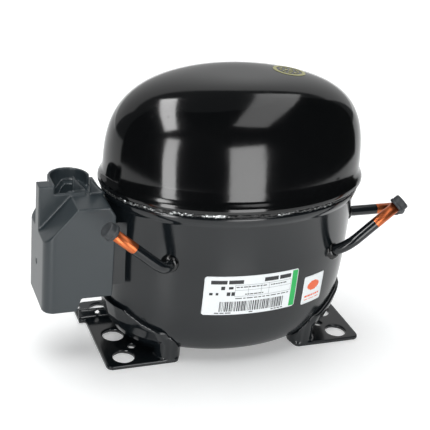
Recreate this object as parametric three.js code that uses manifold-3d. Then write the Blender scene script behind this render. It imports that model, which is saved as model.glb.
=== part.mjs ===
// Hermetic reciprocating compressor with a Scotch-yoke pump inside.
// Millimetres. +X towards the discharge end, -Y towards the rating label, +Z up.
// The origin is on the floor, at the middle of the overall plan.
import * as THREE from 'three';
import { mergeVertices } from 'three/addons/utils/BufferGeometryUtils.js';
import Module from 'manifold-3d';

const wasm = await Module();
wasm.setup();

// ---------------------------------------------------------------- driving dimensions

const GAP = 0.3;                 // kept between neighbouring pieces

// The welded shell, oval in plan.
const SHELL_LENGTH = 196;        // upper shell, over its side wall
const SHELL_WIDTH = 130;
const SHELL_TOP = 206.5;
const SHELL_WALL = 3;
const RIM_HEIGHT = 127.5;        // lower edge of the upper shell
const RIM_FLARE = 3;             // how far that edge stands out
const RIM_DEPTH = 7;             // height of the flared band
const BOWL_LENGTH = 192;         // lower shell, below its own flare
const BOWL_WIDTH = 128;
const BOWL_TOP = 124.4;
const BOWL_NECK = 116;           // where the lower shell starts to flare
const BOWL_FLARE = 2.4;
const BOWL_FLOOR = 4.5;          // underside of the lower shell
const SHELL_SEGMENTS = 40;
const SHELL_ROWS = 9;
// Half a side at a height is its full half times (1 - share ** first) ** (1 / second),
// where share runs from 0 at the joint of the two shells to 1 at the pole.
const DOME_LENGTH_POWERS = [3.4, 3.1];
const DOME_WIDTH_POWERS = [1.6, 4.2];
const BOWL_POWERS = [4.1, 8];

// Base plates.
const FOOT_THICKNESS = 3;
const FOOT_OUTER_X = 101.5;
const FOOT_INNER_X = 46.5;
const FOOT_HALF_Y = 47;
const FOOT_CORNER = 4;
const GROMMET_HOLE = 16;
const GROMMET_X = 86.5;
const GROMMET_YS = [-35, -5, 35];
const PILOT_HOLE = 6;
const PILOT_PLACE = [77, -22.5];
const SADDLE_SHEET = 2.7;        // pressed flange that hugs the bowl
const SADDLE_INNER_X = 48.5;
const SADDLE_OUTER_X = 101.5;
const SADDLE_EDGE = [[46, 1], [46, 26], [38, 31], [28, 38]];
const LOBE_PLACE = [54, 37];     // domed upright lobes at the saddle's ends
const LOBE_PROFILE = [[0, 1], [10, 1], [10, 20], [8.5, 26], [5, 29.5], [0, 30.5]];

// Connection tubes.
const TUBE_OUTER = 8;
const TUBE_BORE = 6.5;
const TUBE_SEGMENTS = 5;         // per half turn
const COLLAR_OUTER = 12.5;
const PLUG_WALL = 1.5;
const PLUG_COVER = 4;            // length of tube under the plug
const PLUG_HEAD = 3;             // length past the tube's end

// Electrical end, at -X.
const TERMINAL_Y = -6;
const TERMINAL_Z = 85;
const TERMINAL_RADIUS = 14.5;
const TERMINAL_FACE = -100;      // outer face of the sealed terminal
const PIN_CIRCLE = 7.5;
const PIN_RADIUS = 1.6;
const PIN_TIP = -113;
const FENCE_SHEET = 1.6;         // pressed sheet of the terminal fence
const COVER_LEFT = -146;
const COVER_OPEN = -96.7;
const COVER_FRONT = -33;
const COVER_BACK = 20;
const COVER_BOTTOM = 44;
const COVER_TOP = 124;
const COVER_WALL = 2;
const COVER_CORNER = 8;
const CHAMFER_Z = 98.5;          // the upper left corner slopes from here
const CHAMFER_X = -123.5;
const RIM_CUT = [4.5, 7];        // corner cut off beside the shell's rim
const STEP_X = -119;             // lower right step that clears the foot
const STEP_Z = 54;
const INLET_PLACE = [-122, 5];   // cord inlet on top of the cover
const INLET_RADIUS = 15;
const INLET_WALL = 2;
const INLET_HEIGHT = 9;
const INLET_MOUTH = 6;
const RIB_Y = [-10.5, -8];       // a thin rib crosses the slope
const RIB_TOP = 126;
const POST_SIZE = [8, 10.5];     // hooked post at the rib's left end
const POST_TOP = 132;
const FIN_LENGTH = 12;           // two three-cornered fins beside the inlet
const FIN_HEIGHT = 12;
const FIN_PITCH = 11;

// Motor.
const CRANK_X = -22;
const STATOR_RADIUS = 50;
const STATOR_BOTTOM = 52;
const STATOR_TOP = 100;
const ROTOR_RADIUS = 26;
const AIR_GAP = 0.5;
const WINDING_INNER = 28.5;
const WINDING_OUTER = 35;
const WINDING_HEIGHT = 16;
const BOLT_CIRCLE = 42;
const BOLT_ANGLE = 41;           // degrees from the X axis
const BOLT_RADIUS = 2.5;

// Pump.
const JOURNAL_RADIUS = 9;
const CRANK_THROW = 11;
const CRANK_REST = 60;           // crank angle at rest, degrees from +X
const CRANKPIN_RADIUS = 8;
const BORE_RADIUS = 14.6;
const PISTON_RADIUS = 14.3;
const PISTON_LENGTH = 23;
const CYLINDER_Z = 154;
const CYLINDER_MOUTH = 8;
const DECK_X = 54;
const HEAD_HALF = 22;
const HEAD_DEPTH = 16;
const PLATE_BOTTOM = 122;
const PLATE_TOP = 130;
const HUB_TOP = 136;
const HUB_RADIUS = 14;
const FLANGE_BOTTOM = 138.4;
const FLANGE_TOP = 144;
const FLANGE_RADIUS = 20;
const YOKE_HALF_HEIGHT = 7;
const YOKE_WALL = 6;
const BLOCK_HALF = 11;           // slider block, half its side

// Suspension.
const SPRING_RADIUS = 5.2;       // to the middle of the wire
const WIRE_RADIUS = 0.9;
const SPRING_TURNS = 4;
const SPRING_SEAT = 13;          // height of the spring's lower end

// ---------------------------------------------------------------- materials

const finish = (color, roughness, metalness) =>
  new THREE.MeshStandardMaterial({ color, roughness, metalness });
const blackPaint = finish(0x101214, 0.15, 0.1);
const satinPaint = finish(0x1d2022, 0.35, 0.1);
const weldMetal = finish(0x3a3c3d, 0.5, 0.6);
const copper = finish(0xc4683c, 0.35, 1);
const rubber = finish(0x22262a, 0.7, 0);
const slatePlastic = finish(0x3f4a4c, 0.45, 0);
const darkPlastic = finish(0x1b1d1f, 0.5, 0);
const steel = finish(0xa8abad, 0.35, 1);
const castIron = finish(0x55585a, 0.6, 0.7);
const laminations = finish(0x6d7072, 0.45, 0.9);
const windingWire = finish(0xa4512a, 0.4, 0.6);
const aluminium = finish(0xb4b8ba, 0.4, 1);
const gasketFibre = finish(0x5d6b60, 0.8, 0);
const paper = finish(0xe6e9e8, 0.5, 0);
const khakiFilm = finish(0xa9a878, 0.5, 0);

// ---------------------------------------------------------------- shape tools

// A closed geometry with shared vertices and faces that point out.
function closed(geometry) {
  const bare = new THREE.BufferGeometry();
  bare.setAttribute('position', geometry.getAttribute('position'));
  if (geometry.index) bare.setIndex(geometry.index);
  const merged = mergeVertices(bare, 1e-4);
  const places = merged.getAttribute('position').array;
  const index = Array.from(merged.index.array);
  const corner = (i) => new THREE.Vector3().fromArray(places, 3 * index[i]);
  let volume = 0;
  const kept = [];
  for (let i = 0; i < index.length; i += 3) {
    if (new Set(index.slice(i, i + 3)).size < 3) continue;
    kept.push(index[i], index[i + 1], index[i + 2]);
    volume += corner(i).dot(corner(i + 1).cross(corner(i + 2)));
  }
  if (volume < 0) kept.reverse();
  merged.setIndex(kept);
  return merged;
}

function solid(geometry) {
  const body = closed(geometry);
  return new wasm.Manifold(new wasm.Mesh({
    numProp: 3,
    vertProperties: new Float32Array(body.getAttribute('position').array),
    triVerts: new Uint32Array(body.index.array),
  }));
}

function geometryOf(body) {
  const mesh = body.getMesh();
  const geometry = new THREE.BufferGeometry();
  geometry.setAttribute('position', new THREE.BufferAttribute(mesh.vertProperties, 3));
  geometry.setIndex(new THREE.BufferAttribute(mesh.triVerts, 1));
  return geometry;
}

const join = (...bodies) => bodies.reduce((whole, body) => whole.add(body));
const cut = (body, ...tools) => tools.reduce((left, tool) => left.subtract(tool), body);

function box(x0, x1, y0, y1, z0, z1) {
  const geometry = new THREE.BoxGeometry(x1 - x0, y1 - y0, z1 - z0);
  geometry.translate((x0 + x1) / 2, (y0 + y1) / 2, (z0 + z1) / 2);
  return solid(geometry);
}

// Turned about Z from [radius, height] points that start and end on the axis, or form a ring.
function turnedGeometry(profile, segments = 16) {
  const points = profile.map(([radius, height]) => new THREE.Vector2(radius, height));
  return new THREE.LatheGeometry(points, segments).rotateX(Math.PI / 2);
}

// Stands a turned geometry's Z axis along a direction, from a start point.
function stoodAlong(geometry, from, direction) {
  const axis = new THREE.Vector3(0, 0, 1);
  const turn = new THREE.Quaternion().setFromUnitVectors(axis, direction.clone().normalize());
  return geometry.applyQuaternion(turn).translate(from.x, from.y, from.z);
}

function rod(radius, z0, z1, [x, y] = [0, 0], segments = 16) {
  const profile = [[0, z0], [radius, z0], [radius, z1], [0, z1]];
  return solid(turnedGeometry(profile, segments).translate(x, y, 0));
}

function ring(inner, outer, z0, z1, [x, y] = [0, 0], segments = 16) {
  const profile = [[inner, z0], [outer, z0], [outer, z1], [inner, z1], [inner, z0]];
  return solid(turnedGeometry(profile, segments).translate(x, y, 0));
}

const AXIS_X = new THREE.Vector3(1, 0, 0);

function rodX(radius, x0, x1, [y, z], segments = 16) {
  const length = x1 - x0;
  const geometry = turnedGeometry([[0, 0], [radius, 0], [radius, length], [0, length]], segments);
  return solid(stoodAlong(geometry, new THREE.Vector3(x0, y, z), AXIS_X));
}

function outline(points) {
  return new THREE.Shape(points.map(([x, y]) => new THREE.Vector2(x, y)));
}

function extruded(shape, depth, curveSegments = 6) {
  return new THREE.ExtrudeGeometry(shape, { depth, bevelEnabled: false, curveSegments });
}

// An outline in X and Y, raised from z0 to z1.
const raised = (shape, z0, z1, curveSegments) =>
  solid(extruded(shape, z1 - z0, curveSegments).translate(0, 0, z0));

// An outline in X and Z, swept from y0 to y1.
const sweptY = (shape, y0, y1, curveSegments) =>
  solid(extruded(shape, y1 - y0, curveSegments).rotateX(Math.PI / 2).translate(0, y1, 0));

function roundedRectangle(x0, x1, y0, y1, radius) {
  const shape = new THREE.Shape();
  shape.moveTo(x0 + radius, y0);
  shape.absarc(x1 - radius, y0 + radius, radius, -Math.PI / 2, 0);
  shape.absarc(x1 - radius, y1 - radius, radius, 0, Math.PI / 2);
  shape.absarc(x0 + radius, y1 - radius, radius, Math.PI / 2, Math.PI);
  shape.absarc(x0 + radius, y0 + radius, radius, Math.PI, 1.5 * Math.PI);
  return shape;
}

// A closed skin through oval rows [half length, half width, height]; a zero row is a pole.
function lofted(rows) {
  const places = [];
  const index = [];
  const starts = rows.map(([a, b, z]) => {
    const start = places.length / 3;
    const count = a === 0 ? 1 : SHELL_SEGMENTS;
    for (let i = 0; i < count; i += 1) {
      const angle = (2 * Math.PI * i) / SHELL_SEGMENTS;
      places.push(a * Math.cos(angle), b * Math.sin(angle), z);
    }
    return start;
  });
  for (let row = 0; row + 1 < rows.length; row += 1) {
    for (let i = 0; i < SHELL_SEGMENTS; i += 1) {
      const next = (i + 1) % SHELL_SEGMENTS;
      const [low, high] = [starts[row], starts[row + 1]];
      const lowPole = rows[row][0] === 0;
      const highPole = rows[row + 1][0] === 0;
      if (!lowPole) index.push(low + i, low + next, highPole ? high : high + i);
      if (!highPole) index.push(lowPole ? low : low + next, high + next, high + i);
    }
  }
  const geometry = new THREE.BufferGeometry();
  geometry.setAttribute('position', new THREE.Float32BufferAttribute(places, 3));
  geometry.setIndex(index);
  return solid(geometry);
}

// Rows of the upper shell's dome from its top down to the flared band, grown by an offset.
function domeRows(offset) {
  const rows = [[0, 0, SHELL_TOP + offset]];
  for (let k = SHELL_ROWS; k >= 1; k -= 1) {
    const angle = (Math.PI / 2) * (1 - ((SHELL_ROWS - k + 0.6) / (SHELL_ROWS + 0.6)) ** 1.25);
    const rise = Math.sin(angle) ** (2 / DOME_LENGTH_POWERS[0]);
    const length = (1 - rise ** DOME_LENGTH_POWERS[0]) ** (1 / DOME_LENGTH_POWERS[1]);
    const width = (1 - rise ** DOME_WIDTH_POWERS[0]) ** (1 / DOME_WIDTH_POWERS[1]);
    rows.push([
      (SHELL_LENGTH / 2) * length + offset,
      (SHELL_WIDTH / 2) * width + offset,
      RIM_HEIGHT + (SHELL_TOP - RIM_HEIGHT) * rise + offset * rise,
    ]);
  }
  return rows.filter(([, , z]) => z > RIM_HEIGHT + RIM_DEPTH || z >= SHELL_TOP);
}

// Rows of the lower shell from its neck down to its floor, grown by an offset.
function bowlRows(offset) {
  const rows = [];
  for (let k = 0; k < SHELL_ROWS; k += 1) {
    const angle = (Math.PI / 2) * (k / SHELL_ROWS) ** 0.8;
    const drop = Math.sin(angle) ** (2 / BOWL_POWERS[0]);
    const share = Math.cos(angle) ** (2 / BOWL_POWERS[1]);
    rows.push([
      (BOWL_LENGTH / 2) * share + offset,
      (BOWL_WIDTH / 2) * share + offset,
      BOWL_NECK - (BOWL_NECK - BOWL_FLOOR) * drop - offset * drop,
    ]);
  }
  rows.push([0, 0, BOWL_FLOOR - offset]);
  return rows;
}

// The outside of the bowl as one lump, grown by an offset and carried up to a height.
function bowlLump(offset, top = BOWL_TOP) {
  const rows = bowlRows(offset);
  const [a, b] = rows[0];
  return lofted([[0, 0, top], [a, b, top], ...rows]);
}

function domeLump(offset) {
  const [a, b] = [SHELL_LENGTH / 2 + offset, SHELL_WIDTH / 2 + offset];
  return lofted([...domeRows(offset), [a, b, RIM_HEIGHT], [0, 0, RIM_HEIGHT]]);
}

const compressor = new THREE.Group();

function piece(name, shape, material, parent = compressor) {
  const geometry = shape.getMesh ? geometryOf(shape) : closed(shape);
  const mesh = new THREE.Mesh(geometry, material);
  mesh.name = name;
  parent.add(mesh);
  return mesh;
}

// ---------------------------------------------------------------- connection tubes

// Each tube leaves the shell at its root, bends, and ends straight at its tip.
const tubes = {
  suction: {
    inside: [-60, -46.3, 85.4],
    root: [-63, -51.8, 85.6],
    bend: [-67.4, -60, 85.9],
    straight: [-75.1, -60, 92.3],
    tip: [-109.2, -60, 120.6],
  },
  process: {
    inside: [64.3, -43.2, 79.6],
    root: [67.7, -48.5, 83.6],
    bend: [72.5, -56, 89.3],
    straight: [80.2, -56.4, 96.3],
    tip: [109.6, -58, 123],
  },
  discharge: {
    inside: [88, -6, 92.5],
    root: [99, -6, 92.5],
    bend: [104, -6, 92.5],
    straight: [112, -6, 92.5],
    tip: [143, -6, 92.5],
  },
};

const vector = (point) => new THREE.Vector3(...point);

function tubePath({ inside, root, bend, straight, tip }) {
  const path = new THREE.CurvePath();
  path.add(new THREE.LineCurve3(vector(inside), vector(root)));
  path.add(new THREE.QuadraticBezierCurve3(vector(root), vector(bend), vector(straight)));
  path.add(new THREE.LineCurve3(vector(straight), vector(tip)));
  return path;
}

// A tube along a path; its section is a circle, hollow when a bore is given.
function tubeAlong(path, radius, bore, steps, segments = TUBE_SEGMENTS) {
  const section = new THREE.Shape().absarc(0, 0, radius, 0, 2 * Math.PI);
  if (bore) section.holes.push(new THREE.Path().absarc(0, 0, bore, 0, 2 * Math.PI, true));
  return new THREE.ExtrudeGeometry(section, {
    extrudePath: path, steps, curveSegments: segments, bevelEnabled: false,
  });
}

const shellHoles = [];
for (const [name, tube] of Object.entries(tubes)) {
  const [inside, root, straight, tip] = [tube.inside, tube.root, tube.straight, tube.tip].map(vector);
  const entry = root.clone().sub(inside).normalize();
  const exit = tip.clone().sub(straight).normalize();
  piece(`${name}_tube`, tubeAlong(tubePath(tube), TUBE_OUTER / 2, TUBE_BORE / 2, 12), copper);

  const hole = TUBE_OUTER / 2 + GAP;
  const bore = turnedGeometry([[0, 0], [hole, 0], [hole, 30], [0, 30]]);
  shellHoles.push(solid(stoodAlong(bore, root.clone().addScaledVector(entry, -20), entry)));

  // The brazed collar sits on the shell, so its inner end follows the shell's outside.
  const collar = turnedGeometry([[hole, -8], [COLLAR_OUTER / 2, -8], [COLLAR_OUTER / 2, -1.2],
    [COLLAR_OUTER / 2 - 1.2, 0], [hole, 0], [hole, -8]]);
  const placed = solid(stoodAlong(collar, root, entry));
  piece(`${name}_collar`, placed.subtract(bowlLump(GAP)), satinPaint);

  // A rubber plug caps the open end and pulls off along the tube.
  const outer = hole + PLUG_WALL;
  const end = PLUG_COVER + PLUG_HEAD;
  const floor = PLUG_COVER + GAP;
  const plug = turnedGeometry([
    [hole, 0], [outer, 0], [outer + 0.5, 0.8], [outer + 0.5, 1.8], [outer, 2.4],
    [outer, end - 1.2], [outer - 1.2, end], [0, end], [0, floor], [hole, floor], [hole, 0],
  ]);
  piece(`${name}_plug`, stoodAlong(plug, tip.clone().addScaledVector(exit, -PLUG_COVER), exit), rubber);
}

// ---------------------------------------------------------------- welded shell

const terminalPlace = [TERMINAL_Y, TERMINAL_Z];

function lowerShell() {
  const outer = bowlRows(0);
  const inner = bowlRows(-SHELL_WALL);
  const [a, b] = outer[0];
  const flared = (grow) => [a + grow, b + grow, BOWL_TOP];
  const skin = lofted([
    ...inner.reverse(), flared(BOWL_FLARE - SHELL_WALL), flared(BOWL_FLARE),
    [a + BOWL_FLARE, b + BOWL_FLARE, BOWL_TOP - 2.5], ...outer,
  ]);
  const studs = boltPlaces.map((place) => join(
    rod(8, BOWL_FLOOR + 1.5, SPRING_SEAT, place),
    rod(3.5, SPRING_SEAT - 1, SPRING_SEAT + 9, place, 12),
  ));
  const holeRadius = TERMINAL_RADIUS + GAP;
  const terminalHole = rodX(holeRadius, TERMINAL_FACE - 5, TERMINAL_FACE + 30, terminalPlace);
  const insideBowl = join(...studs).intersect(bowlLump(-SHELL_WALL / 2));
  return join(cut(skin, ...shellHoles, terminalHole), insideBowl);
}

function upperShell() {
  const [a, b] = [SHELL_LENGTH / 2, SHELL_WIDTH / 2];
  const flared = (grow, z) => [a + grow, b + grow, z];
  const rimTop = RIM_HEIGHT + RIM_DEPTH;
  return lofted([
    ...domeRows(0), flared(0.4, rimTop), flared(RIM_FLARE, rimTop - 3.5),
    flared(RIM_FLARE, RIM_HEIGHT), flared(-SHELL_WALL, RIM_HEIGHT),
    ...domeRows(-SHELL_WALL).reverse(),
  ]);
}

function weldBead() {
  const [a, b] = [SHELL_LENGTH / 2, SHELL_WIDTH / 2];
  const low = BOWL_TOP + GAP;
  const high = RIM_HEIGHT - GAP;
  const rows = [[-2, low], [0.8, low], [1.6, (low + high) / 2], [0.8, high], [-2, high], [-2, low]];
  return lofted(rows.map(([grow, z]) => [a + grow, b + grow, z]));
}

// Motor bolts and suspension springs share these four places.
const boltPlaces = [[1, 1], [-1, 1], [-1, -1], [1, -1]].map(([sx, sy]) => [
  CRANK_X + sx * BOLT_CIRCLE * Math.cos(THREE.MathUtils.degToRad(BOLT_ANGLE)),
  sy * BOLT_CIRCLE * Math.sin(THREE.MathUtils.degToRad(BOLT_ANGLE)),
]);

piece('lower_shell', lowerShell(), blackPaint);
piece('upper_shell', upperShell(), blackPaint);
piece('weld_bead', weldBead(), weldMetal);

// ---------------------------------------------------------------- base plates

function foot(side) {
  const [x0, x1] = side < 0 ? [-FOOT_OUTER_X, -FOOT_INNER_X] : [FOOT_INNER_X, FOOT_OUTER_X];
  const plan = roundedRectangle(x0, x1, -FOOT_HALF_Y, FOOT_HALF_Y, FOOT_CORNER);
  const plate = raised(plan, 0, FOOT_THICKNESS, 4);
  const hole = (diameter, x, y, segments) =>
    rod(diameter / 2, -1, FOOT_THICKNESS + 1, [side * x, y], segments);
  const holes = GROMMET_YS.map((y) => hole(GROMMET_HOLE, GROMMET_X, y, 20));
  holes.push(hole(PILOT_HOLE, ...PILOT_PLACE, 12));
  const front = SADDLE_EDGE.map(([y, z]) => [-y, z]);
  const edge = outline([...front, ...SADDLE_EDGE.slice().reverse()]);
  const [s0, s1] = [SADDLE_INNER_X, SADDLE_OUTER_X].map((x) => side * x).sort((a, b) => a - b);
  const reach = raised(edge, s0, s1).rotate([90, 0, 90]);
  const saddle = bowlLump(SADDLE_SHEET + GAP).intersect(reach);
  const lobes = [-1, 1].map((end) => solid(
    turnedGeometry(LOBE_PROFILE, 20).translate(side * LOBE_PLACE[0], end * LOBE_PLACE[1], 0),
  ));
  const body = cut(join(plate, saddle, ...lobes), ...holes, bowlLump(GAP));
  return side < 0 ? join(body, ...coverShelf()) : body;
}

// A folded strip at the rear of the left plate, under the terminal cover.
function coverShelf() {
  const [x0, x1] = [-FOOT_OUTER_X - 5, -77];
  const tab = raised(outline([[x0, 20], [x1, 20], [x1, 38], [x0, 38]]), 0, FOOT_THICKNESS);
  const strip = box(x0, x1 - 2, 22, 24, FOOT_THICKNESS - 1, 10.5);
  const hole = rod(1.8, -3, 3, [0, 0], 12).rotate([90, 0, 0]).translate([(x0 + x1) / 2, 23, 6.8]);
  const rearPlace = [-GROMMET_X, GROMMET_YS[2]];
  const grommet = rod(GROMMET_HOLE / 2, -1, FOOT_THICKNESS + 1, rearPlace, 20);
  return [cut(tab, grommet), strip.subtract(hole)];
}

piece('left_foot', foot(-1), satinPaint);
piece('right_foot', foot(1), satinPaint);

// ---------------------------------------------------------------- labels

// Film that lies on the bowl or dome, cut to an outline.
const onShell = (lump, block) => block.intersect(lump(2 * GAP)).subtract(lump(GAP));

piece('rating_label', onShell(bowlLump, box(-38, 34, -80, -30, 46, 78)), paper);
piece('service_label', onShell(bowlLump, box(41, 60, -80, -20, 44, 68)), paper);
piece('top_sticker', onShell(domeLump, rod(12, SHELL_TOP - 20, SHELL_TOP + 5, [38, 5], 20)), khakiFilm);

// ---------------------------------------------------------------- electrical end

const pinPlaces = {
  common_pin: 90, start_pin: 210, run_pin: 330,
};
const pinPlace = (degrees) => {
  const angle = THREE.MathUtils.degToRad(degrees);
  return [TERMINAL_Y + PIN_CIRCLE * Math.cos(angle), TERMINAL_Z + PIN_CIRCLE * Math.sin(angle)];
};
const pinHoles = (x0, x1, radius, names) =>
  names.map((name) => rodX(radius, x0, x1, pinPlace(pinPlaces[name]), 10));

const allPins = Object.keys(pinPlaces);
const TERMINAL_BACK = TERMINAL_FACE + 14;
piece('hermetic_terminal', cut(
  rodX(TERMINAL_RADIUS, TERMINAL_FACE, TERMINAL_BACK, terminalPlace),
  ...pinHoles(TERMINAL_FACE - 2, TERMINAL_BACK + 2, PIN_RADIUS + GAP, allPins),
), weldMetal);
for (const name of allPins) {
  piece(name, rodX(PIN_RADIUS, PIN_TIP, TERMINAL_BACK + 8, pinPlace(pinPlaces[name]), 10), steel);
}

function terminalFence() {
  const [y0, y1, z0, z1] = [COVER_FRONT + 6, COVER_BACK - 4, STEP_Z + 6, COVER_TOP - 15];
  const [lip, sheet] = [TERMINAL_FACE - 3, FENCE_SHEET];
  const wall = cut(
    box(lip, TERMINAL_FACE + 20, y0, y1, z0, z1),
    box(lip - 1, TERMINAL_FACE + 21, y0 + sheet, y1 - sheet, z0 + sheet, z1 - sheet),
  );
  const ear = box(lip, lip + sheet, y0 + 1, y0 + 11, z0 + 1, z0 + 12);
  const screwHole = rodX(1.9, TERMINAL_FACE - 9, TERMINAL_FACE + 5, [y0 + 6, z0 + 6.5], 12);
  return cut(join(wall, ear), bowlLump(GAP), screwHole);
}
piece('terminal_fence', terminalFence(), satinPaint);

const earthPlace = [COVER_FRONT + 12, 66.5];
piece('earth_screw', join(
  rodX(3.6, TERMINAL_FACE - 6, TERMINAL_FACE - 3.3, earthPlace, 12),
  rodX(1.6, TERMINAL_FACE - 5, TERMINAL_FACE + 3, earthPlace, 12),
), steel);

piece('start_relay', cut(
  box(TERMINAL_FACE - 20, TERMINAL_FACE - 3.6, -20, 12, 73, 87),
  ...pinHoles(TERMINAL_FACE - 16, TERMINAL_FACE, PIN_RADIUS + GAP, ['start_pin', 'run_pin']),
), darkPlastic);
piece('overload_protector', cut(
  rodX(11, TERMINAL_FACE - 18, TERMINAL_FACE - 3.6, [TERMINAL_Y, 99]),
  ...pinHoles(TERMINAL_FACE - 16, TERMINAL_FACE, PIN_RADIUS + GAP, ['common_pin']),
), darkPlastic);

// The cover is a deep box, open towards the shell, with one sloped corner and a cord inlet on top.
function coverBlock(inset) {
  const left = COVER_LEFT + inset;
  const right = inset ? COVER_OPEN + 1 : COVER_OPEN;
  const [low, high] = [COVER_BOTTOM + inset, COVER_TOP - inset];
  const slope = (COVER_TOP - CHAMFER_Z) / (CHAMFER_X - COVER_LEFT);
  const chamferX = CHAMFER_X + inset * (Math.hypot(1, slope) - 1) / slope;
  const chamferZ = high - (chamferX - left) * slope;
  const rimSlope = RIM_CUT[1] / RIM_CUT[0];
  const rimX = COVER_OPEN - RIM_CUT[0] - inset * (Math.hypot(1, rimSlope) - 1) / rimSlope;
  const rimZ = high - (right - rimX) * rimSlope;
  const side = outline([
    [left, low], [left, chamferZ], [chamferX, high], [rimX, high], [right, rimZ],
    [right, STEP_Z + inset], [STEP_X + inset, STEP_Z + inset], [STEP_X - 3 + inset, low],
  ]);
  const [y0, y1] = [COVER_FRONT + inset, COVER_BACK - inset];
  const plan = roundedRectangle(left, right + 40, y0, y1, COVER_CORNER - inset);
  return sweptY(side, y0, y1).intersect(raised(plan, low - 1, high + 1, 5));
}

function terminalCover() {
  const [x, y] = INLET_PLACE;
  const inletTop = COVER_TOP + INLET_HEIGHT;
  const wall = INLET_RADIUS - INLET_WALL;
  const low = CHAMFER_Z - 1;
  const collar = ring(wall, INLET_RADIUS, low, inletTop, INLET_PLACE, 20);
  const backHalf = box(x - 20, x + 20, y, y + 20, low - 1, inletTop + 1);
  const sideWall = box(x - INLET_RADIUS, x - wall, RIB_Y[0], y + 1, low, inletTop);
  const mouth = rod(INLET_MOUTH, COVER_TOP - 12, COVER_TOP + 2, INLET_PLACE);
  const rib = box(COVER_LEFT, x + 9, ...RIB_Y, low, RIB_TOP);
  const [postRight, postBack] = [COVER_LEFT + POST_SIZE[0], RIB_Y[0] + POST_SIZE[1]];
  const post = cut(
    box(COVER_LEFT, postRight, RIB_Y[0], postBack, low, POST_TOP),
    box(COVER_LEFT + INLET_WALL, postRight + 1, RIB_Y[1], postBack + 1, low - 1, POST_TOP - INLET_WALL),
  );
  const fins = [0, 1].map((number) => {
    const foot = x + 1 + number * FIN_PITCH;
    const side = RIB_Y[1] + 4 - (number * FIN_PITCH) / 2;
    return sweptY(outline([
      [foot, COVER_TOP - 1], [foot + FIN_LENGTH, COVER_TOP - 1], [foot, COVER_TOP + FIN_HEIGHT],
    ]), side, side + 2);
  });
  const latchSlot = rodX(2, COVER_LEFT - 1, COVER_LEFT + COVER_WALL + 1, [TERMINAL_Y, 73], 10);
  return cut(
    join(coverBlock(0), collar.intersect(backHalf), sideWall, rib, post, ...fins),
    coverBlock(COVER_WALL), mouth, latchSlot, bowlLump(1),
  );
}
piece('terminal_cover', terminalCover(), slatePlastic);

// ---------------------------------------------------------------- motor

const motorCentre = [CRANK_X, 0];

function statorCore() {
  const plan = new THREE.Shape().absarc(CRANK_X, 0, STATOR_RADIUS, 0, 2 * Math.PI);
  plan.holes.push(new THREE.Path().absarc(CRANK_X, 0, ROTOR_RADIUS + AIR_GAP, 0, 2 * Math.PI, true));
  const holes = boltPlaces.map((place) =>
    rod(BOLT_RADIUS + GAP, STATOR_BOTTOM - 1, STATOR_TOP + 1, place, 10));
  return cut(raised(plan, STATOR_BOTTOM, STATOR_TOP, 14), ...holes);
}

function winding(z0, z1) {
  const soft = 2.5;              // the bundle's rounded edges
  const [inner, outer] = [WINDING_INNER, WINDING_OUTER];
  return turnedGeometry([
    [inner, z0 + soft], [inner + soft, z0], [outer - soft, z0], [outer, z0 + soft],
    [outer, z1 - soft], [outer - soft, z1], [inner + soft, z1], [inner, z1 - soft],
    [inner, z0 + soft],
  ], 28).translate(CRANK_X, 0, 0);
}

piece('stator_core', statorCore(), laminations);
piece('lower_winding', winding(STATOR_BOTTOM - GAP - WINDING_HEIGHT, STATOR_BOTTOM - GAP), windingWire);
piece('upper_winding', winding(STATOR_TOP + GAP, STATOR_TOP + GAP + WINDING_HEIGHT), windingWire);
piece('rotor', ring(
  JOURNAL_RADIUS + GAP, ROTOR_RADIUS, STATOR_BOTTOM + 1, STATOR_TOP - 1, motorCentre, 28,
), aluminium);

// Each bolt's head is a seat for its spring, with a nose inside the coil.
const BOLT_HEAD = 5;
const BOLT_HEAD_RADIUS = 6.2;
const NOSE_RADIUS = 3.2;
const NOSE_LENGTH = 6;
const BOLT_HEAD_LOW = STATOR_BOTTOM - GAP - BOLT_HEAD;
const LEG_BOTTOM = STATOR_TOP + GAP;
const boltHoles = boltPlaces.map((place) =>
  rod(BOLT_RADIUS + GAP, LEG_BOTTOM - 1, PLATE_BOTTOM - 2, place, 12));
boltPlaces.forEach((place, number) => {
  const [noseEnd, headTop] = [BOLT_HEAD_LOW - NOSE_LENGTH, BOLT_HEAD_LOW + BOLT_HEAD];
  const tip = PLATE_BOTTOM - 4;
  const bolt = turnedGeometry([
    [0, noseEnd], [NOSE_RADIUS, noseEnd], [NOSE_RADIUS, BOLT_HEAD_LOW],
    [BOLT_HEAD_RADIUS, BOLT_HEAD_LOW], [BOLT_HEAD_RADIUS, headTop],
    [BOLT_RADIUS, headTop], [BOLT_RADIUS, tip], [0, tip],
  ], 12);
  piece(`stator_bolt_${number + 1}`, bolt.translate(place[0], place[1], 0), steel);
});

// ---------------------------------------------------------------- pump

const SCREW_RADIUS = 2.2;
const SCREW_OFFSET = 17;         // from the cylinder's axis, both ways
const screwPlaces = [[1, 1], [-1, 1], [-1, -1], [1, -1]].map(([sy, sz]) =>
  [sy * SCREW_OFFSET, CYLINDER_Z + sz * SCREW_OFFSET]);
const screwHoles = (x0, x1) =>
  screwPlaces.map((place) => rodX(SCREW_RADIUS + GAP, x0, x1, place, 10));
const headBlock = (x0, x1, half = HEAD_HALF) =>
  box(x0, x1, -half, half, CYLINDER_Z - half, CYLINDER_Z + half);

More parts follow.
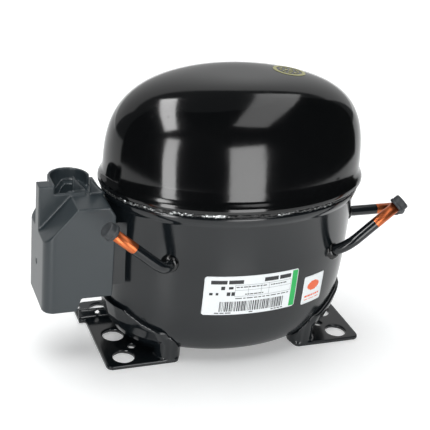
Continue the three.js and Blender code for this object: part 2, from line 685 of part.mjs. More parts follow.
function crankcase() {
  const plan = roundedRectangle(CRANK_X - 40, DECK_X, -36, 36, 8);
  const plate = raised(plan, PLATE_BOTTOM, PLATE_TOP, 3);
  const legs = boltPlaces.map((place) => rod(6.5, LEG_BOTTOM, PLATE_BOTTOM + 1, place, 14));
  const hub = rod(HUB_RADIUS, STATOR_TOP + 4, HUB_TOP, motorCentre);
  const cylinder = headBlock(CYLINDER_MOUTH, DECK_X);
  const web = box(CYLINDER_MOUTH, DECK_X, -18, 18, PLATE_TOP - 1, CYLINDER_Z);
  return cut(
    join(plate, ...legs, hub, cylinder, web),
    rod(JOURNAL_RADIUS + GAP, STATOR_TOP, HUB_TOP + 1, motorCentre),
    rodX(BORE_RADIUS, CYLINDER_MOUTH - 1, DECK_X + 1, [0, CYLINDER_Z], 28),
    ...boltHoles, ...screwHoles(DECK_X - 20, DECK_X + 1),
  );
}
piece('crankcase', crankcase(), castIron);

const crankAngle = THREE.MathUtils.degToRad(CRANK_REST);
const onCrank = (radius) =>
  [CRANK_X + radius * Math.cos(crankAngle), radius * Math.sin(crankAngle)];
const crankpinPlace = onCrank(CRANK_THROW);
const galleryPlace = onCrank(CRANK_THROW / 2);
const CRANKPIN_TOP = CYLINDER_Z + YOKE_HALF_HEIGHT + 2;
const GALLERY_RADIUS = 1.7;
const GALLERY_DEPTH = 3;
const SHAFT_BOTTOM = STATOR_BOTTOM - 12;

piece('crankshaft', cut(
  join(
    rod(JOURNAL_RADIUS, SHAFT_BOTTOM, FLANGE_BOTTOM + 1, motorCentre),
    rod(FLANGE_RADIUS, FLANGE_BOTTOM, FLANGE_TOP, motorCentre, 28),
    rod(CRANKPIN_RADIUS, FLANGE_TOP - 1, CRANKPIN_TOP, crankpinPlace),
  ),
  rod(GALLERY_RADIUS + GAP, CRANKPIN_TOP - GALLERY_DEPTH - GAP, CRANKPIN_TOP + 1, galleryPlace, 12),
), steel);
piece('gallery_plug', rod(
  GALLERY_RADIUS, CRANKPIN_TOP - GALLERY_DEPTH, CRANKPIN_TOP, galleryPlace, 12,
), aluminium);
piece('thrust_washer', ring(
  JOURNAL_RADIUS + GAP, HUB_RADIUS, HUB_TOP + GAP, FLANGE_BOTTOM - GAP, motorCentre,
), steel);

function counterweight() {
  const [from, to] = [crankAngle + Math.PI / 2 + 0.2, crankAngle + 1.5 * Math.PI - 0.2];
  const plan = new THREE.Shape();
  plan.absarc(CRANK_X, 0, FLANGE_RADIUS + 8, from, to, false);
  plan.absarc(CRANK_X, 0, FLANGE_RADIUS + GAP + 0.1, to, from, true);
  plan.closePath();
  return raised(plan, FLANGE_BOTTOM, FLANGE_TOP, 10);
}
piece('counterweight', counterweight(), castIron);

// A thin cone under the shaft that lifts oil as it turns.
const PICKUP_TOP = SHAFT_BOTTOM - GAP;
const PICKUP_BOTTOM = 14;
const PICKUP_SHOULDER = 30;
piece('oil_pickup', turnedGeometry([
  [2, PICKUP_BOTTOM], [4, PICKUP_BOTTOM], [7, PICKUP_SHOULDER], [7, PICKUP_TOP],
  [5, PICKUP_TOP], [5, PICKUP_SHOULDER + 1], [2, PICKUP_BOTTOM],
]).translate(CRANK_X, 0, 0), steel);

const yokeX = crankpinPlace[0];
const [yokeLow, yokeHigh] = [CYLINDER_Z - YOKE_HALF_HEIGHT, CYLINDER_Z + YOKE_HALF_HEIGHT];
const slotHalfX = BLOCK_HALF + GAP;
const slotHalfY = BLOCK_HALF + CRANK_THROW + 1;
const blockY = crankpinPlace[1];
piece('slider_block', cut(
  box(
    yokeX - BLOCK_HALF, yokeX + BLOCK_HALF, blockY - BLOCK_HALF, blockY + BLOCK_HALF,
    yokeLow + 1, yokeHigh - 1,
  ),
  rod(CRANKPIN_RADIUS + GAP, yokeLow, yokeHigh, crankpinPlace),
), steel);

const yokeFace = slotHalfX + YOKE_WALL;
const yokeEnd = slotHalfY + YOKE_WALL;
const CROWN_CLEARANCE = 1.5;     // from the piston crown to the deck at the end of the stroke
const crownX = yokeX + DECK_X - CROWN_CLEARANCE - CRANK_THROW - CRANK_X;
const skirtX = crownX - PISTON_LENGTH;
const cylinderAxis = [0, CYLINDER_Z];
piece('piston_yoke', join(
  cut(
    box(yokeX - yokeFace, yokeX + yokeFace, -yokeEnd, yokeEnd, yokeLow, yokeHigh),
    box(yokeX - slotHalfX, yokeX + slotHalfX, -slotHalfY, slotHalfY, yokeLow - 1, yokeHigh + 1),
  ),
  rodX(6, yokeX + yokeFace - 1, skirtX + 1, cylinderAxis),
  rodX(PISTON_RADIUS, skirtX, crownX, cylinderAxis, 28),
), castIron);

// Head stack along +X: gasket and suction reed, valve plate, gasket and discharge reed, head.
const REED = 0.4;
const GASKET = 0.8;
const PLATE = 3;
const gasketA = DECK_X + GAP;
const plateX = gasketA + GASKET + GAP;
const gasketB = plateX + PLATE + GAP;
const headX = gasketB + GASKET + GAP;

const gasket = (x0) => cut(
  headBlock(x0, x0 + GASKET),
  rodX(15.5, x0 - 1, x0 + GASKET + 1, cylinderAxis),
  ...screwHoles(x0 - 1, x0 + GASKET + 1),
);
piece('cylinder_gasket', gasket(gasketA), gasketFibre);
piece('head_gasket', gasket(gasketB), gasketFibre);

const tongue = (x0, y) => box(x0, x0 + REED, y - 3, y + 3, CYLINDER_Z - 9, CYLINDER_Z + 9);
const REED_OFFSET = 5;
piece('suction_reed', tongue(gasketA + 0.2, REED_OFFSET), steel);
piece('discharge_reed', tongue(gasketB + 0.1, -REED_OFFSET), steel);
const port = (y) => rodX(2.4, plateX - 1, plateX + PLATE + 1, [y, CYLINDER_Z - 5], 12);
piece('valve_plate', cut(
  headBlock(plateX, plateX + PLATE), ...screwHoles(plateX - 1, plateX + PLATE + 1),
  port(REED_OFFSET), port(-REED_OFFSET),
), steel);
const headRoom = (y0, y1) =>
  box(headX - 1, headX + HEAD_DEPTH - 4, y0, y1, CYLINDER_Z - 12, CYLINDER_Z + 12);
piece('cylinder_head', cut(
  headBlock(headX, headX + HEAD_DEPTH), headRoom(-13, -1), headRoom(1, 13),
  ...screwHoles(headX - 1, headX + HEAD_DEPTH + 1),
), aluminium);
screwPlaces.forEach((place, number) => {
  piece(`head_screw_${number + 1}`, join(
    rodX(SCREW_RADIUS, DECK_X - 16, headX + HEAD_DEPTH + 1, place, 10),
    rodX(4, headX + HEAD_DEPTH + GAP, headX + HEAD_DEPTH + 4, place, 12),
  ), steel);
});

const mufflerX = CRANK_X + CRANK_THROW + yokeFace + 3;   // clear of the yoke's whole stroke
piece('suction_muffler', raised(
  roundedRectangle(mufflerX, mufflerX + 38, HEAD_HALF + 1.5, HEAD_HALF + 17, 4),
  PLATE_TOP + 1.5, PLATE_TOP + 36, 3,
), darkPlastic);

// The discharge line leaves the head, loops down beside the motor and stops at the shell's tube.
const loopPoints = [
  [68, -13, 131.4], [68, -14, 120], [62, -24, 108], [44, -42, 98], [56, -36, 88],
  [72, -26, 84], [79, -14, 86], [80, -6, 92.5], [82.6, -6, 92.5],
].map(vector);
piece('discharge_loop', tubeAlong(new THREE.CatmullRomCurve3(loopPoints), 2.4, 0, 26, 3), copper);

// ---------------------------------------------------------------- suspension springs

class Helix extends THREE.Curve {
  constructor(centre, low, high) {
    super();
    Object.assign(this, { centre, low, high });
  }

  getPoint(t, target = new THREE.Vector3()) {
    const angle = 2 * Math.PI * SPRING_TURNS * t;
    const [x, y] = this.centre;
    return target.set(
      x + SPRING_RADIUS * Math.cos(angle),
      y + SPRING_RADIUS * Math.sin(angle),
      this.low + (this.high - this.low) * t,
    );
  }
}

boltPlaces.forEach((place, number) => {
  const low = SPRING_SEAT + WIRE_RADIUS + GAP;
  const high = BOLT_HEAD_LOW - WIRE_RADIUS - GAP;
  const coil = tubeAlong(new Helix(place, low, high), WIRE_RADIUS, 0, SPRING_TURNS * 8, 2);
  piece(`spring_${number + 1}`, coil, steel);
});

export default compressor;
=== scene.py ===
import math
import random

import bpy
from mathutils import Matrix, Vector


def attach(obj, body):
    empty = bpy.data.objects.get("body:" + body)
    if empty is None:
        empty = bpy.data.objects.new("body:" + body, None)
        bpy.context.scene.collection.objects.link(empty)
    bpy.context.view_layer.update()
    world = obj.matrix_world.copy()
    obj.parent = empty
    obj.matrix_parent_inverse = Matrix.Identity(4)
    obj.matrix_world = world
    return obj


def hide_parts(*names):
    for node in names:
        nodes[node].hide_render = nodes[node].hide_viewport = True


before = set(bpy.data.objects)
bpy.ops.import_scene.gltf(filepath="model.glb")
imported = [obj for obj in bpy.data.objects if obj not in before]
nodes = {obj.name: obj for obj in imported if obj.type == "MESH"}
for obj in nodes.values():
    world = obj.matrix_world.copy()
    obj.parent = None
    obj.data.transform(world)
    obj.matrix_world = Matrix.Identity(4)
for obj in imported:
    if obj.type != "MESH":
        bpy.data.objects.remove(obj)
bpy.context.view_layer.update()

MM = 0.001


# ---- Camera: a short telephoto looking down on the label side, turned a little on its axis.

bpy.ops.object.select_all(action="DESELECT")
bpy.ops.object.camera_add(
    location=(-0.28307, -0.66070, 0.43751),
    rotation=(math.radians(64.293), math.radians(-5.049), math.radians(-19.974)),
)
camera = bpy.context.object
camera.name = "studio_camera"
camera.data.sensor_width = 36
camera.data.lens = 88.744
camera.data.clip_start = 0.02
bpy.context.scene.camera = camera


# ---- Materials in general. A colour is given in sRGB and turned to linear light here.
# Each material starts from one principled shader, and its patterns run on the
# piece's own coordinates in metres.

def linear(colour):
    parts = [int(colour[i:i + 2], 16) / 255 for i in (1, 3, 5)]
    parts = [p / 12.92 if p <= 0.04045 else ((p + 0.055) / 1.055) ** 2.4 for p in parts]
    return (*parts, 1)


def add(tree, kind, settings=None, links=None):
    made = tree.nodes.new(kind)
    for key, value in (settings or {}).items():
        if isinstance(key, str) and hasattr(made, key):
            setattr(made, key, value)
        else:
            made.inputs[key].default_value = value
    for key, source in (links or {}).items():
        tree.links.new(source, made.inputs[key])
    return made


def material(name, colour, roughness, **surface):
    made = bpy.data.materials.new(name)
    made.use_nodes = True
    tree = made.node_tree
    shader = tree.nodes["Principled BSDF"]
    shader.inputs["Base Color"].default_value = linear(colour)
    shader.inputs["Roughness"].default_value = roughness
    for key, value in surface.items():
        shader.inputs[key.replace("_", " ")].default_value = value
    place = add(tree, "ShaderNodeTexCoord").outputs["Object"]
    return made, tree, shader, place


# ---- Studio: a faintly lit pale board, a broad soft key light and a front fill. The gloss
# paint reflects a lit back wall, strip lights and boxes, and black card around them.

bpy.ops.mesh.primitive_circle_add(vertices=96, radius=12, fill_type="NGON")
floor = bpy.context.object
floor.name = "studio_floor"
board, tree, shader, place = material("matt white studio board", "#f1f2f2", 0.32)
mottle = add(tree, "ShaderNodeTexNoise", {"Scale": 30.0, "Detail": 2.0}, {"Vector": place})
tone = add(
    tree, "ShaderNodeMix", {"data_type": "RGBA", 6: linear("#eeefef"), 7: linear("#f4f5f5")},
    {0: mottle.outputs["Fac"]},
)
tree.links.new(tone.outputs[2], shader.inputs["Base Color"])
shader.inputs["Emission Color"].default_value = linear("#ffffff")
shader.inputs["Emission Strength"].default_value = 0.26
floor.data.materials.append(board)

world = bpy.data.worlds.new("studio room")
bpy.context.scene.world = world
world.use_nodes = True
world.node_tree.nodes["Background"].inputs["Color"].default_value = linear("#dfe3e5")
world.node_tree.nodes["Background"].inputs["Strength"].default_value = 0.14
bpy.context.scene.view_settings.view_transform = "Standard"

bpy.ops.object.light_add(type="SUN", location=(-0.4, 0.3, 2))
key = bpy.context.object
key.name = "soft_key"
key.data.energy = 2.7
key.data.angle = math.radians(62)
key.rotation_euler = Vector((-0.14, 0.14, 1)).to_track_quat("Z", "Y").to_euler()
key.visible_glossy = False

bpy.ops.object.light_add(type="SUN", location=(-0.5, -1, 0.4))
fill = bpy.context.object
fill.name = "front_fill"
fill.data.energy = 1.9
fill.data.angle = math.radians(60)
fill.data.use_shadow = False
fill.rotation_euler = Vector((-0.2, -0.95, 0.14)).to_track_quat("Z", "Y").to_euler()
fill.visible_glossy = False


def panel(name, place, target, width, height, radiance, along=(0, 0, 1)):
    """A light that only reflections show, with its long side along a direction."""
    bpy.ops.object.light_add(type="AREA", location=place)
    light = bpy.context.object
    light.name = name
    light.data.shape = "RECTANGLE"
    light.data.size = width
    light.data.size_y = height
    light.data.energy = radiance * math.pi * width * height
    back = (Vector(place) - Vector(target)).normalized()
    side = Vector(along).cross(back).normalized()
    light.rotation_euler = Matrix((side, back.cross(side), back)).transposed().to_euler()
    light.visible_camera = False
    light.visible_diffuse = False
    return light


panel("strip_left_low", (-0.31, -0.33, 0.16), (0, 0, 0.16), 0.085, 0.32, 9)
panel("strip_left_high", (-0.28, -0.09, 0.535), (-0.05, -0.04, 0.18), 0.10, 0.57, 11, (0.18, 0.5, 0.21))
panel("box_right_low", (0.08, -0.53, 0.15), (0, 0, 0.15), 0.20, 0.30, 6)
panel("box_right_high", (0.233, -0.216, 0.642), (0, -0.04, 0.18), 0.233, 0.86, 2.2, (0.22, 0.81, 0.2))
panel("back_wall", (0.2, 1.3, 0.8), (0, 0, 0.2), 4.2, 1.7, 0.62)

bpy.ops.mesh.primitive_cylinder_add(
    vertices=64, radius=0.6, depth=1.3, location=(0, 0, 0.66), end_fill_type="NOTHING",
)
flag = bpy.context.object
flag.name = "black_card"
bpy.ops.object.mode_set(mode="EDIT")
bpy.ops.mesh.select_all(action="SELECT")
bpy.ops.mesh.bisect(plane_co=(0, 0.12, 0), plane_no=(0, 1, 0), clear_outer=True)
bpy.ops.object.mode_set(mode="OBJECT")
card, tree, shader, place = material("black studio card", "#050505", 0.9)
flag.data.materials.append(card)
for ray in ("camera", "diffuse", "shadow", "transmission", "volume_scatter"):
    setattr(flag, "visible_" + ray, False)


# ---- Upper shell: a deep-drawn steel cap, oval in plan, stove-enamelled gloss black.
# Its lower edge is flared outwards to sit over the lower shell.

def drawn(name, rows, segments=144, close=True):
    """A sheet drawn ring by ring from its edge to its pole; a row is half length, half width, height."""
    bpy.ops.object.select_all(action="DESELECT")
    half_length, half_width, height = rows[0]
    bpy.ops.mesh.primitive_circle_add(vertices=segments, radius=1, location=(0, 0, height * MM))
    sheet = bpy.context.object
    sheet.name = name
    sheet.scale = (half_length * MM, half_width * MM, 1)
    bpy.ops.object.transform_apply(location=True, rotation=True, scale=True)
    bpy.ops.object.mode_set(mode="EDIT")
    bpy.ops.mesh.select_all(action="SELECT")
    for (a0, b0, z0), (a1, b1, z1) in zip(rows, rows[1:]):
        bpy.ops.mesh.extrude_region_move(TRANSFORM_OT_translate={"value": (0, 0, (z1 - z0) * MM)})
        bpy.ops.transform.resize(value=(a1 / a0, b1 / b0, 1), center_override=(0, 0, z1 * MM))
    if close:
        bpy.ops.mesh.merge(type="CENTER")
    bpy.ops.mesh.select_all(action="SELECT")
    bpy.ops.mesh.normals_make_consistent(inside=False)
    bpy.ops.object.mode_set(mode="OBJECT")
    bpy.ops.object.shade_smooth()
    return sheet


def applied(piece, kind, **settings):
    modifier = piece.modifiers.new(kind.lower(), kind)
    for key, value in settings.items():
        setattr(modifier, key, value)
    bpy.context.view_layer.objects.active = piece
    bpy.ops.object.modifier_apply(modifier=modifier.name)


DOME_BASE, DOME_RISE = 127.5, 79.0


def dome_half(rise):
    length = 98 * max(0, 1 - rise ** 3.4) ** (1 / 3.1)
    width = 65 * max(0, 1 - rise ** 1.6) ** (1 / 4.2)
    return length, width


lip = [
    (2.3, 127.5), (2.8, 127.8), (3.0, 128.5), (3.0, 130.0),
    (2.8, 131.2), (2.3, 132.3), (1.5, 133.4), (0.8, 134.6),
]
dome_rows = [(98 + grow, 65 + grow, z) for grow, z in lip]
for step in range(60):
    angle = 0.024 + (math.pi / 2 - 0.03) * (step / 59) ** 0.92
    rise = math.sin(angle) ** (2 / 3.4)
    if DOME_BASE + DOME_RISE * rise > 135.6:
        dome_rows.append((*dome_half(rise), DOME_BASE + DOME_RISE * rise))
upper_shell = drawn("upper_shell_skin", dome_rows)
applied(upper_shell, "SOLIDIFY", thickness=3 * MM, offset=-1)

gloss_black, tree, shader, place = material("stove-enamelled gloss black steel", "#08090a", 0.07, IOR=1.5)
# Orange peel of sprayed enamel, about 3 mm from crest to crest.
peel = add(tree, "ShaderNodeTexNoise", {"Scale": 330.0, "Detail": 1.0}, {"Vector": place})
# Dust nibs under the paint, drawn about 0.5 mm across.
nibs = add(tree, "ShaderNodeTexVoronoi", {"Scale": 95.0, "Randomness": 1.0}, {"Vector": place})
nib = add(tree, "ShaderNodeMapRange", {"From Min": 0.035, "From Max": 0.02, "To Min": 0.0, "To Max": 1.0},
          {"Value": nibs.outputs["Distance"]})
# Faint wiped smears, which scatter a little more than the rest.
smear = add(tree, "ShaderNodeTexNoise", {"Scale": 22.0, "Detail": 4.0, "Distortion": 1.2}, {"Vector": place})
rough = add(tree, "ShaderNodeMapRange", {"From Min": 0.35, "From Max": 0.75, "To Min": 0.09, "To Max": 0.15},
            {"Value": smear.outputs["Fac"]})
tree.links.new(rough.outputs["Result"], shader.inputs["Roughness"])
waves = add(tree, "ShaderNodeBump", {"Strength": 0.05, "Distance": 0.0002}, {"Height": peel.outputs["Fac"]})
pimples = add(tree, "ShaderNodeBump", {"Strength": 0.3, "Distance": 0.00015},
              {"Height": nib.outputs["Result"], "Normal": waves.outputs["Normal"]})
tree.links.new(pimples.outputs["Normal"], shader.inputs["Normal"])
upper_shell.data.materials.append(gloss_black)
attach(upper_shell, "shell")
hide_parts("upper_shell")


# ---- Lower shell: the deep-drawn bowl, in the same enamel. It bells out under the joint
# and its floor is nearly flat.

BOWL_NECK, BOWL_DEPTH = 116.0, 111.5


def bowl_half(z):
    drop = min(max((BOWL_NECK - z) / BOWL_DEPTH, 0), 1)
    share = max(0, 1 - drop ** 4.1) ** (1 / 8)
    return 96 * share, 64 * share


bell = [(2.4, 124.4), (2.4, 122.2), (2.3, 120.8), (1.9, 119.4), (1.2, 118.0), (0.5, 116.8), (0.1, 115.8)]
bowl_rows = [(96 + grow, 64 + grow, z) for grow, z in bell]
for step in range(1, 44):
    drop = math.sin((math.pi / 2) * (step / 44) ** 0.8) ** (2 / 4.1)
    height = BOWL_NECK - BOWL_DEPTH * drop
    if height < 115:
        bowl_rows.append((*bowl_half(height), height))
bowl_rows.append((40, 27, 4.5))
bowl_rows.append((8, 6, 4.5))
lower_shell = drawn("lower_shell_skin", bowl_rows)
applied(lower_shell, "SOLIDIFY", thickness=3 * MM, offset=-1)

satin_black, tree, shader, place = material("stove-enamelled satin black steel", "#111518", 0.15, IOR=1.5)
peel = add(tree, "ShaderNodeTexNoise", {"Scale": 260.0, "Detail": 1.0}, {"Vector": place})
smear = add(tree, "ShaderNodeTexNoise", {"Scale": 18.0, "Detail": 4.0, "Distortion": 0.8}, {"Vector": place})
rough = add(tree, "ShaderNodeMapRange", {"From Min": 0.3, "From Max": 0.75, "To Min": 0.13, "To Max": 0.2},
            {"Value": smear.outputs["Fac"]})
tree.links.new(rough.outputs["Result"], shader.inputs["Roughness"])
waves = add(tree, "ShaderNodeBump", {"Strength": 0.06, "Distance": 0.0002}, {"Height": peel.outputs["Fac"]})
tree.links.new(waves.outputs["Normal"], shader.inputs["Normal"])
lower_shell.data.materials.append(satin_black)
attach(lower_shell, "shell")
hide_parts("lower_shell")


# ---- Weld bead: the continuous seam that closes the shell for good. Its ripples are
# painted over, but the paint is burnt and thin on the crests.

bead_rows = []
for step in range(9):
    turn = math.pi * step / 8
    bulge = 2.0 * math.sin(turn)
    bead_rows.append((98 - 0.6 + bulge, 65 - 0.6 + bulge, 125.95 - 1.5 * math.cos(turn)))
weld_bead = drawn("weld_bead_skin", bead_rows, segments=720, close=False)
ripple = bpy.data.textures.new("weld ripple", "CLOUDS")
ripple.noise_scale = 1.6 * MM
ripple.noise_depth = 2
applied(weld_bead, "DISPLACE", texture=ripple, strength=2.8 * MM, mid_level=0.4, texture_coords="LOCAL")
applied(weld_bead, "SOLIDIFY", thickness=0.8 * MM, offset=-1)

burnt_weld, tree, shader, place = material("painted weld metal", "#0d0e0f", 0.3)
crumbs = add(tree, "ShaderNodeTexNoise", {"Scale": 700.0, "Detail": 3.0}, {"Vector": place})
patches = add(tree, "ShaderNodeTexNoise", {"Scale": 60.0, "Detail": 2.0}, {"Vector": place})
both = add(tree, "ShaderNodeMath", {"operation": "MULTIPLY"},
           {0: crumbs.outputs["Fac"], 1: patches.outputs["Fac"]})
bare = add(tree, "ShaderNodeMapRange", {"From Min": 0.26, "From Max": 0.31, "To Min": 0.0, "To Max": 1.0},
           {"Value": both.outputs[0]})
tone = add(tree, "ShaderNodeMix", {"data_type": "RGBA", 6: linear("#0d0e0f"), 7: linear("#b9bcbc")},
           {0: bare.outputs["Result"]})
tree.links.new(tone.outputs[2], shader.inputs["Base Color"])
tree.links.new(bare.outputs["Result"], shader.inputs["Metallic"])
grain = add(tree, "ShaderNodeBump", {"Strength": 0.6, "Distance": 0.0003}, {"Height": crumbs.outputs["Fac"]})
tree.links.new(grain.outputs["Normal"], shader.inputs["Normal"])
weld_bead.data.materials.append(burnt_weld)
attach(weld_bead, "shell")
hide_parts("weld_bead")


# ---- Base plates: pressed steel, painted with the shell. Each has two upright lobes and
# a saddle that is spot-welded to the bowl, and holes for rubber grommets.

def copied(node_name, name):
    """An own, merged copy of a CAD piece, to be given its pressed or moulded edges."""
    bpy.ops.object.select_all(action="DESELECT")
    mesh = nodes[node_name].data.copy()
    mesh.materials.clear()
    twin = bpy.data.objects.new(name, mesh)
    bpy.context.scene.collection.objects.link(twin)
    twin.select_set(True)
    bpy.context.view_layer.objects.active = twin
    bpy.ops.object.mode_set(mode="EDIT")
    bpy.ops.mesh.select_all(action="SELECT")
    bpy.ops.mesh.remove_doubles(threshold=0.00002)
    bpy.ops.mesh.dissolve_limited(angle_limit=math.radians(1.5))
    bpy.ops.object.mode_set(mode="OBJECT")
    return twin


feet = []
for side in ("left", "right"):
    foot = copied(f"{side}_foot", f"{side}_foot_pressing")
    applied(foot, "REMESH", mode="VOXEL", voxel_size=0.7 * MM)
    applied(foot, "SMOOTH", factor=0.5, iterations=7)
    bpy.ops.object.shade_smooth()
    foot.data.materials.append(satin_black)
    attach(foot, "shell")
    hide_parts(f"{side}_foot")
    feet.append(foot)


# ---- Connection tubes: drawn copper, bent and brazed into the shell, then painted with it.
# The last stretch was masked, so it is bare. Each end has a rubber transit plug.

tubes = {
    "suction": (
        (-60, -46.3, 85.4), (-63, -51.8, 85.6), (-67.4, -60, 85.9), (-75.1, -60, 92.3), (-109.2, -60, 120.6),
    ),
    "process": (
        (64.3, -43.2, 79.6), (67.7, -48.5, 83.6), (72.5, -56, 89.3), (80.2, -56.4, 96.3), (109.6, -58, 123),
    ),
    "discharge": ((88, -6, 92.5), (99, -6, 92.5), (104, -6, 92.5), (112, -6, 92.5), (143, -6, 92.5)),
}
bare_lengths = {"suction": 23.5, "process": 23.0, "discharge": 21.0}

bare_copper, tree, shader, place = material("drawn copper tube", "#b85c34", 0.35, Metallic=1.0)
# Draw marks and thumbed tarnish, a few millimetres across.
tarnish = add(tree, "ShaderNodeTexNoise", {"Scale": 160.0, "Detail": 4.0, "Distortion": 0.6},
              {"Vector": place})
tone = add(tree, "ShaderNodeMix", {"data_type": "RGBA", 6: linear("#a84f2c"), 7: linear("#d27a4c")},
           {0: tarnish.outputs["Fac"]})
tree.links.new(tone.outputs[2], shader.inputs["Base Color"])
rough = add(tree, "ShaderNodeMapRange", {"To Min": 0.28, "To Max": 0.44}, {"Value": tarnish.outputs["Fac"]})
tree.links.new(rough.outputs["Result"], shader.inputs["Roughness"])

braze, tree, shader, place = material("painted brazing fillet", "#0b0c0d", 0.16, IOR=1.5)
lumps = add(tree, "ShaderNodeTexNoise", {"Scale": 420.0, "Detail": 2.0}, {"Vector": place})
bumps = add(tree, "ShaderNodeBump", {"Strength": 0.5, "Distance": 0.0006}, {"Height": lumps.outputs["Fac"]})
tree.links.new(bumps.outputs["Normal"], shader.inputs["Normal"])

plug_rubber, tree, shader, place = material("moulded chloroprene rubber", "#1e2225", 0.55, IOR=1.52)
bloom = add(tree, "ShaderNodeTexNoise", {"Scale": 500.0, "Detail": 3.0}, {"Vector": place})
tone = add(tree, "ShaderNodeMix", {"data_type": "RGBA", 6: linear("#191c1f"), 7: linear("#2c3135")},
           {0: bloom.outputs["Fac"]})
tree.links.new(tone.outputs[2], shader.inputs["Base Color"])
skin = add(tree, "ShaderNodeBump", {"Strength": 0.2, "Distance": 0.0001}, {"Height": bloom.outputs["Fac"]})
tree.links.new(skin.outputs["Normal"], shader.inputs["Normal"])


def turned(name, profile, start, direction, steps=56):
    """A turned or moulded piece, from its profile of radius and height in mm."""
    bpy.ops.object.select_all(action="DESELECT")
    mesh = bpy.data.meshes.new(name)
    points = [(radius * MM, 0, height * MM) for radius, height in profile]
    mesh.from_pydata(points, [(i, i + 1) for i in range(len(points) - 1)], [])
    piece = bpy.data.objects.new(name, mesh)
    bpy.context.scene.collection.objects.link(piece)
    piece.select_set(True)
    bpy.context.view_layer.objects.active = piece
    bpy.ops.object.mode_set(mode="EDIT")
    bpy.ops.mesh.select_all(action="SELECT")
    bpy.ops.mesh.spin(steps=steps, angle=2 * math.pi, center=(0, 0, 0), axis=(0, 0, 1))
    bpy.ops.mesh.select_all(action="SELECT")
    bpy.ops.mesh.remove_doubles(threshold=0.00001)
    bpy.ops.mesh.normals_make_consistent(inside=False)
    bpy.ops.object.mode_set(mode="OBJECT")
    bpy.ops.object.shade_smooth_by_angle(angle=math.radians(40))
    turn = Vector(direction).to_track_quat("Z", "Y").to_matrix().to_4x4()
    mesh.transform(Matrix.Translation(Vector(start) * MM) @ turn)
    return piece


for name, points in tubes.items():
    inside, root, bend, straight, tip = [Vector(point) for point in points]
    entry = (root - inside).normalized()
    exit_way = (tip - straight).normalized()
    bare_from = (tip - straight).length - bare_lengths[name]
    line = [inside]
    for step in range(17):
        t = step / 16
        line.append((1 - t) ** 2 * root + 2 * t * (1 - t) * bend + t * t * straight)
    line.append(straight + exit_way * bare_from)
    line.append(straight + exit_way * (bare_from + 0.4))
    line.append(tip)
    curve = bpy.data.curves.new(f"{name}_tube_line", "CURVE")
    curve.dimensions = "3D"
    curve.bevel_depth = 4 * MM
    curve.bevel_resolution = 10
    spline = curve.splines.new("POLY")
    spline.points.add(len(line) - 1)
    for point, at in zip(spline.points, line):
        point.co = (*(at * MM), 1)
    bpy.ops.object.select_all(action="DESELECT")
    tube = bpy.data.objects.new(f"{name}_tube_drawn", curve)
    bpy.context.scene.collection.objects.link(tube)
    tube.select_set(True)
    bpy.context.view_layer.objects.active = tube
    bpy.ops.object.convert(target="MESH")
    bpy.ops.object.shade_smooth()
    tube = bpy.context.object
    tube.data.materials.clear()
    tube.data.materials.append(satin_black)
    tube.data.materials.append(bare_copper)
    for face in tube.data.polygons:
        along = (face.center / MM - straight).dot(exit_way)
        face.material_index = 1 if along > bare_from else 0
    applied(tube, "SOLIDIFY", thickness=0.75 * MM, offset=-1)
    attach(tube, "shell")
    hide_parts(f"{name}_tube")

    fillet = turned(
        f"{name}_collar_braze",
        [(4.2, -4), (6.6, -4), (6.6, -2.2), (6.2, -1.2), (5.5, -0.4), (4.9, 0.1), (4.2, 0.3), (4.2, -4)],
        root, entry,
    )
    fillet.data.materials.append(braze)
    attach(fillet, "shell")
    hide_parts(f"{name}_collar")

    plug = turned(
        f"{name}_plug_moulding",
        [(4.1, 0.15), (4.3, 0), (5.7, 0), (6.2, 0.3), (6.3, 0.9), (6.3, 1.7), (6.15, 2.2), (5.8, 2.5),
         (5.8, 5.7), (5.65, 6.4), (5.2, 6.85), (4.6, 7.0), (3.4, 7.0), (3.2, 6.85), (0, 6.8), (0, 4.3),
         (4.1, 4.3), (4.1, 0.15)],
        tip - exit_way * 4, exit_way,
    )
    plug.data.materials.append(plug_rubber)
    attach(plug, f"{name}_cap")
    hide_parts(f"{name}_plug")


# ---- Terminal cover: a thin moulded box of filled thermoplastic, open towards the shell,
# with a sloped corner, a cord inlet on top and a clip post. Every edge is moulded round.

terminal_cover = copied("terminal_cover", "terminal_cover_moulding")
applied(terminal_cover, "REMESH", mode="VOXEL", voxel_size=0.64 * MM)
applied(terminal_cover, "SMOOTH", factor=0.5, iterations=5)
bpy.ops.object.shade_smooth()

slate_plastic, tree, shader, place = material("moulded slate-grey polyamide", "#283034", 0.36, IOR=1.53)
# Fine spark-eroded grain of the mould, drawn at about 0.6 mm.
grain = add(tree, "ShaderNodeTexNoise", {"Scale": 1600.0, "Detail": 2.0}, {"Vector": place})
cloud = add(tree, "ShaderNodeTexNoise", {"Scale": 25.0, "Detail": 3.0}, {"Vector": place})
tone = add(tree, "ShaderNodeMix", {"data_type": "RGBA", 6: linear("#242b2f"), 7: linear("#2d3539")},
           {0: cloud.outputs["Fac"]})
tree.links.new(tone.outputs[2], shader.inputs["Base Color"])
texture = add(tree, "ShaderNodeBump", {"Strength": 0.12, "Distance": 0.0001},
              {"Height": grain.outputs["Fac"]})
tree.links.new(texture.outputs["Normal"], shader.inputs["Normal"])
terminal_cover.data.materials.append(slate_plastic)
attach(terminal_cover, "cover")
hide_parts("terminal_cover")


# ---- Labels: self-adhesive film pressed on the bowl and the dome. The print is plain
# rules, bars and word-long dashes, with no lettering.

def on_bowl(x, z, lift):
    half_length, half_width = bowl_half(z)
    return -(half_width + lift) * math.sqrt(max(0, 1 - (x / (half_length + lift)) ** 2))


